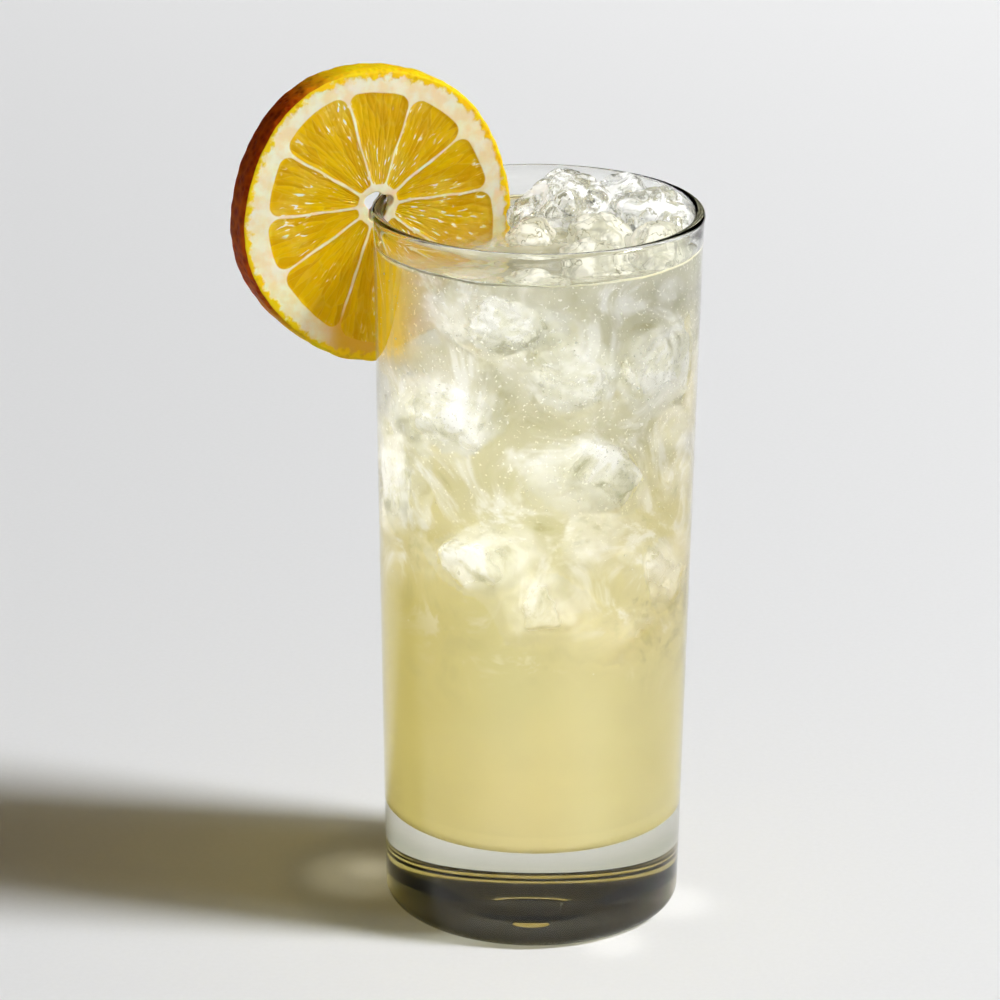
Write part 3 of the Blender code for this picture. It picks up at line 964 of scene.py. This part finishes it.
def wheel_rows(reach, hole):
    """Radii, height and whether it is a cut face, for each row from the front's hole round to it again."""
    half = WHEEL_THICKNESS / 2
    face = [hole + (reach - EDGE_ROUND - hole) * (row / FACE_ROWS) for row in range(FACE_ROWS + 1)]
    rows = [(radius, half, 1.0) for radius in face]
    for row in range(1, RIND_ROWS):
        share = row / RIND_ROWS
        if share < 0.25:
            turn = share / 0.25 * math.pi / 2
            height = half - EDGE_ROUND + EDGE_ROUND * math.cos(turn)
            rows.append((reach - EDGE_ROUND + EDGE_ROUND * math.sin(turn), height, 0.0))
        elif share > 0.75:
            turn = (1.0 - share) / 0.25 * math.pi / 2
            height = EDGE_ROUND - half - EDGE_ROUND * math.cos(turn)
            rows.append((reach - EDGE_ROUND + EDGE_ROUND * math.sin(turn), height, 0.0))
        else:
            height = (half - EDGE_ROUND) * (1.0 - (share - 0.25) / 0.25)
            rows.append((reach.copy(), height, 0.0))
    rows += [(radius, -half, 1.0) for radius in reversed(face)]
    for row in range(1, HOLE_ROWS):
        share = row / HOLE_ROWS
        rows.append((hole * (1.0 + 0.12 * math.sin(math.pi * share)), -half + 2 * half * share, 1.0))
    return rows


def nearest_membrane(angles):
    """The turn from each angle's nearest membrane, and that membrane's number."""
    side = np.full(WHEEL_STEPS, 9.0)
    number = np.zeros(WHEEL_STEPS)
    for index, membrane in enumerate(MEMBRANES):
        turn = np.mod(angles - membrane + math.pi, math.tau) - math.pi
        closer = np.abs(turn) < np.abs(side)
        side = np.where(closer, turn, side)
        number = np.where(closer, index, number)
    return side, number


def turned_points(radius, angles, height):
    return np.stack([radius * np.cos(angles), radius * np.sin(angles), np.ones(len(angles)) * height], -1)


def pith_width(angles):
    width = 5.325 - 0.45 * np.cos(angles) + 0.3 * np.sin(angles)
    return (width + 0.425 * np.cos(2 * angles) + 0.57 * np.sin(2 * angles)) * MM


def make_wheel():
    half = WHEEL_THICKNESS / 2
    angles = np.linspace(-math.pi, math.pi, WHEEL_STEPS, endpoint=False) + WHEEL_SEAM
    reach = reach_from_core(angles)
    rows = wheel_rows(reach, hole_radius(angles))
    side, number = nearest_membrane(angles)
    ordered = np.sort(np.mod(MEMBRANES, math.tau))
    segment = np.searchsorted(ordered, np.mod(angles, math.tau)) % len(MEMBRANES)
    pith = pith_width(angles)

    points, from_rind, inside_all, face_all = [], [], [], []
    for radius, height, on_face in rows:
        # Depth inside a segment, with its corners rounded
        rind = reach - radius
        sway = [noise.noise(Vector((r * 180.0, n * 3.7, 0.0))) for r, n in zip(radius, number)]
        membrane = np.abs(side * radius + MEMBRANE_SWAY * np.array(sway)) - MEMBRANE_HALF
        inside = rounded(rind - pith, membrane, SEGMENT_CORNER)
        inside = rounded(inside, radius - SEGMENT_START, SEGMENT_START_CORNER)

        # Pulp sinks in between the membranes, and its sacs swell
        flat = abs(height) > half - 0.01 * MM and on_face > 0.5
        sign = math.copysign(1.0, height) if flat else 0.0
        across = angles * 15.0 + segment * 7.3
        along = radius * 170.0 + np.sin(across * 1.7) * 0.3
        near, far = cell_pattern(across, along, 3.1 if height > 0 else 8.7)
        drop = np.sqrt(np.clip((far - near) * 2.2, 0.0, 1.0))
        sink = smooth(inside / (0.8 * MM)) * (PULP_SINK - SAC_RISE * drop) * MM

        spots = turned_points(radius, angles, height)
        grain = np.array([noise.noise(Vector(spot) * GRAIN_SCALE) for spot in spots])
        z = height - sign * (sink + np.abs(grain) * FACE_GRAIN)
        pored = radius + (RIND_GRAIN * (grain - 2.2) if on_face < 0.5 else 0.0)
        points.append(turned_points(pored, angles, z))
        from_rind.append(rind)
        inside_all.append(inside)
        face_all.append(np.full(WHEEL_STEPS, on_face))

    faces = []
    for row in range(len(rows)):
        here, there = row * WHEEL_STEPS, (row + 1) % len(rows) * WHEEL_STEPS
        for i in range(WHEEL_STEPS):
            k = (i + 1) % WHEEL_STEPS
            faces.append((here + i, there + i, there + k, here + k))
    wheel = add_mesh("lemon_slice", np.concatenate(points), faces, (lemon_material(),))
    # Painted shade: the rind's left flank, turned from the key lamp, is painted orange-brown
    painted_flank_shade = [smooth((np.cos(angles - math.radians(170.0)) - 0.30) / 0.50)] * len(rows)
    names = ("from_rind", "inside", "on_face", "painted_flank_shade")
    for name, values in zip(names, (from_rind, inside_all, face_all, painted_flank_shade)):
        set_attribute(wheel, name, np.concatenate(values))
    wheel.matrix_world = wheel_matrix()
    slit_wheel(wheel)
    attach(wheel, "root")
    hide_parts("lemon_wheel")
    return wheel


def slit_wheel(wheel):
    """Cuts the slit that straddles the glass wall, from a turned slot a little wider than the wall."""
    gap = SLIT_GAP
    low = WHEEL_FRONT_CENTRE.z - 1.2 * WHEEL_RADIUS
    bead_height = GLASS_HEIGHT - BEAD_RADIUS
    bead_middle = outer_radius(bead_height) - wall(bead_height) / 2
    shoulder = bead_height - 1.5 * BEAD_RADIUS
    profile = [(inner_radius(low) - gap, low), (inner_radius(shoulder) - gap, shoulder)]
    profile += arc(bead_middle, bead_height, BEAD_RADIUS + gap, 180, 0, 12)
    profile += [(outer_radius(shoulder) + gap, shoulder), (outer_radius(low) + gap, low)]
    slot, _ = revolve("slit", profile, GLASS_STEPS, (lemon_cut_material(),), closed=True)
    boolean = wheel.modifiers.new("Slit", "BOOLEAN")
    boolean.operation = "DIFFERENCE"
    boolean.object = slot
    boolean.material_mode = "TRANSFER"
    graph = bpy.context.evaluated_depsgraph_get()
    cut = bpy.data.meshes.new_from_object(wheel.evaluated_get(graph))
    wheel.modifiers.clear()
    wheel.data = cut
    bpy.data.objects.remove(slot)


# Ice above the drink
CLEAR_CHUNKS = ("ice_1", "ice_2", "ice_7")
CHUNK_VOXEL = 0.38 * MM
CHUNK_CELLS = 190.0
CHUNK_CREASE = 0.5 * MM
CHUNK_SWELL_SCALE = 85.0
CHUNK_SWELL = 1.0 * MM


def crack_surface(mesh):
    """Sinks creases between facets, and shallow hollows, into a chunk."""
    points = vectors_of(mesh)
    normals = vectors_of(mesh, "normal")
    for index, point in enumerate(points):
        near, far = noise.voronoi(Vector(point) * CHUNK_CELLS)[0][:2]
        crease = 1.0 - float(smooth((far - near) / 0.22))
        swell = abs(noise.fractal(Vector(point) * CHUNK_SWELL_SCALE, 1.0, 2.0, 3))
        points[index] -= normals[index] * (CHUNK_CREASE * crease + CHUNK_SWELL * swell)
    move_points(mesh, points)


def make_top_ice():
    clear = ice_material("clear_ice", 0.0)
    slushy = ice_material("slushy_ice", 0.85)
    chunks = []
    for name, node in sorted(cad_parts.items()):
        if not name.startswith("ice_"):
            continue
        piece = new_object("chunk_" + name[4:], node.data.copy())
        remesh = piece.modifiers.new("Fine", "REMESH")
        remesh.mode = "VOXEL"
        remesh.voxel_size = CHUNK_VOXEL
        relax = piece.modifiers.new("Round", "SMOOTH")
        relax.factor = 0.5
        relax.iterations = 3
        graph = bpy.context.evaluated_depsgraph_get()
        mesh = bpy.data.meshes.new_from_object(piece.evaluated_get(graph))
        piece.modifiers.clear()
        piece.data = mesh
        crack_surface(mesh)
        mesh.shade_smooth()
        mesh.materials.clear()
        mesh.materials.append(clear if name in CLEAR_CHUNKS else slushy)
        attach(piece, "root")
        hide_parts(name)
        chunks.append(piece)
    return chunks


# Stage, lights and camera
TABLE_HALF = 6.0
TABLE_BELOW = 0.02 * MM
AIM = Vector((0.0, 0.0, 0.08))
GLOW_HEIGHT = 0.4
GLOW_SIZE = 0.002
FLOOR_LAMP_ANGLE = math.radians(74.0)
FLOOR_LAMP_SIZE = 0.3
WORLD_FROM = 0.42
WORLD_TO = 0.75
WORLD_STRENGTH = 0.035


def make_stage():
    corners = [(x * TABLE_HALF, y * TABLE_HALF, 0.0) for x, y in ((-1, -1), (1, -1), (1, 1), (-1, 1))]
    floor = add_mesh("table", corners, [(0, 1, 2, 3)], (floor_material(),), smooth_shaded=False)
    floor.location.z = -TABLE_BELOW
    return floor


def area_light(name, azimuth, elevation, distance, size, watts, colour=(1.0, 1.0, 1.0)):
    """A softbox that looks at the glass. Azimuth is counted from +X towards +Y."""
    data = bpy.data.lights.new(name, "AREA")
    data.shape = "DISK"
    data.size = size
    data.energy = watts
    data.color = colour
    lamp = new_object(name, data)
    a, e = math.radians(azimuth), math.radians(elevation)
    way = Vector((math.cos(a) * math.cos(e), math.sin(a) * math.cos(e), math.sin(e)))
    lamp.location = AIM + way * distance
    lamp.rotation_euler = way.to_track_quat("Z", "Y").to_euler()
    return lamp


def link_light(lamp, receivers, blockers=None):
    """The lamp shines only on the receivers, and only the blockers, if given, cast its shadows."""
    group = bpy.data.collections.new(lamp.name + "_lights")
    for piece in receivers:
        group.objects.link(piece)
    lamp.light_linking.receiver_collection = group
    if blockers is not None:
        stops = bpy.data.collections.new(lamp.name + "_stops")
        for piece in blockers:
            stops.objects.link(piece)
        lamp.light_linking.blocker_collection = stops


def table_lamp(floor, name, place, target, cone, softness, watts, colour=(1.0, 1.0, 1.0)):
    """A spot that shines on the table only, past all else."""
    data = bpy.data.lights.new(name, "SPOT")
    data.energy = watts
    data.color = colour
    data.spot_size = cone
    data.spot_blend = 1.0
    data.shadow_soft_size = softness
    lamp = new_object(name, data)
    lamp.location = place
    lamp.rotation_euler = (lamp.location - Vector(target)).to_track_quat("Z", "Y").to_euler()
    link_light(lamp, [floor], [floor])


def make_world():
    """A weak light from high up only, so that the glass sees a dark room."""
    world = bpy.data.worlds.new("studio")
    world.use_nodes = True
    tree = world.node_tree
    background = tree.nodes["Background"]
    coordinates = tree.nodes.new("ShaderNodeTexCoord")
    split = tree.nodes.new("ShaderNodeSeparateXYZ")
    rise = tree.nodes.new("ShaderNodeMapRange")
    rise.interpolation_type = "SMOOTHSTEP"
    for name, value in (("From Min", WORLD_FROM), ("From Max", WORLD_TO), ("To Max", WORLD_STRENGTH)):
        rise.inputs[name].default_value = value
    tree.links.new(coordinates.outputs["Generated"], split.inputs[0])
    tree.links.new(split.outputs[2], rise.inputs["Value"])
    tree.links.new(rise.outputs[0], background.inputs["Strength"])
    background.inputs["Color"].default_value = (0.95, 0.97, 1.0, 1.0)
    bpy.context.scene.world = world


def make_lights(floor, wheel, others, cloudy, blockers):
    """The key for all that is clear or dry, and soft lamps for the cloudy pieces, the wheel and the table."""
    key = area_light("key", -11.0, 42.0, 2.6, 0.52, 92.0, (0.99, 0.995, 1.0))
    link_light(key, [floor, *others])
    for name, azimuth, elevation, distance, size, watts in (
        ("soft_key", -58.0, 40.0, 2.6, 0.5, 33.5),
        ("front_soft", -128.0, 28.0, 1.6, 1.0, 21.0),
        ("back_soft", 150.0, 25.0, 1.6, 1.2, 15.0),
    ):
        link_light(area_light(name, azimuth, elevation, distance, size, watts), cloudy, blockers)
    wheel_soft = area_light("wheel_soft", -58.0, 40.0, 2.6, 0.5, 7.5, (1.0, 0.82, 0.55))
    link_light(wheel_soft, [wheel], [wheel])
    for name, place, target, watts in (
        ("far_floor", (0.6, 2.6, 2.2), (0.0, 2.0, 0.0), 225.0),
        ("left_floor", (-2.6, 0.6, 2.2), (-2.1, 0.0, 0.0), 150.0),
    ):
        table_lamp(floor, name, place, target, FLOOR_LAMP_ANGLE, FLOOR_LAMP_SIZE, watts)

    # Small pools of light that the glass gathers on the table
    for name, x, y, width, watts, colour in (
        ("glow_left", -0.0365, 0.006, 0.030, 1.0, (1.0, 0.92, 0.62)),
        ("glow_left_near", -0.0345, 0.0085, 0.013, 0.8, (1.0, 0.94, 0.70)),
        ("glow_right", 0.0300, -0.0070, 0.022, 1.1, (1.0, 1.0, 0.96)),
        ("glow_low", 0.0165, -0.0270, 0.018, 1.2, (1.0, 0.99, 0.92)),
    ):
        cone = 2.0 * math.atan(width / 2.0 / GLOW_HEIGHT)
        table_lamp(floor, name, (x, y, GLOW_HEIGHT), (x, y, 0.0), cone, GLOW_SIZE, watts, colour)


def make_camera():
    data = bpy.data.cameras.new("camera")
    data.lens = CAMERA_LENS
    data.sensor_width = 36.0
    camera = new_object("camera", data)
    forward = Vector((0.0, math.cos(CAMERA_PITCH), -math.sin(CAMERA_PITCH)))
    right = Vector((1.0, 0.0, 0.0))
    up = right.cross(forward)
    rolled_right = right * math.cos(CAMERA_ROLL) + up * math.sin(CAMERA_ROLL)
    rolled_up = up * math.cos(CAMERA_ROLL) - right * math.sin(CAMERA_ROLL)
    rotation = Matrix((rolled_right, rolled_up, -forward)).transposed().to_4x4()
    camera.matrix_world = Matrix.Translation(CAMERA_PLACE) @ rotation
    bpy.context.scene.camera = camera


def tune_render():
    scene = bpy.context.scene
    scene.view_settings.view_transform = "Standard"
    scene.cycles.caustics_reflective = False
    scene.cycles.caustics_refractive = False
    scene.cycles.use_light_tree = False
    scene.cycles.max_bounces = 7
    scene.cycles.diffuse_bounces = 2
    scene.cycles.glossy_bounces = 2
    scene.cycles.transmission_bounces = 7
    scene.cycles.transparent_max_bounces = 18


make_camera()
tune_render()
table = make_stage()
tumbler = make_glass()
lemon = make_wheel()
sunk = make_sunk_ice()
core = make_core()
sling = make_drink(sunk, core, lemon)
waterline = make_meniscus()
bubbles = make_bubbles()
chunks = make_top_ice()
clear_pieces = [tumbler, lemon, waterline, bubbles, *chunks]
for piece in (waterline, bubbles):
    piece.visible_shadow = False
make_world()
make_lights(table, lemon, clear_pieces, [sling, core, sunk, *chunks], [core, sunk, lemon, *chunks])
